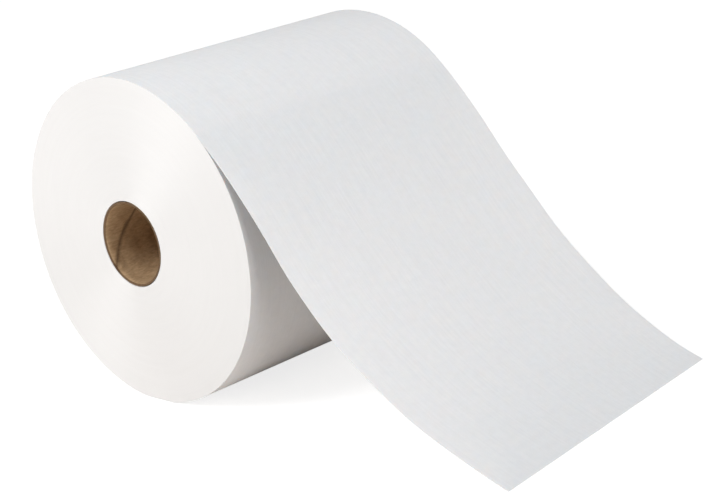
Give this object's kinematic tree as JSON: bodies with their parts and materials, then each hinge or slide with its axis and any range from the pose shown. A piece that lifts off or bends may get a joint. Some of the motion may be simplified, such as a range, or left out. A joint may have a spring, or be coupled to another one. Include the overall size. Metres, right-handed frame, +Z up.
{
  "type": "paper towel roll",
  "caption": "Hardwound paper towel roll on a board core, lying on its side with a length of plain white towel pulled off over the top.",
  "frame": {"origin": "on the flat spot that the roll lies on, straight under the core's axis, halfway between the outer turn's edges", "axes": "+X the way the loose tail is pulled, +Y along the core's axis away from the end that the inner turns stand out of, +Z up"},
  "size_m": [0.3726, 0.2028, 0.1974],
  "materials": {
    "towel_paper": "soft creped, matte",
    "core_board": "matte kraft"
  },
  "bodies": {
    "root": {"paper_roll": "towel_paper", "core_tube": "core_board"}
  },
  "joints": []
}
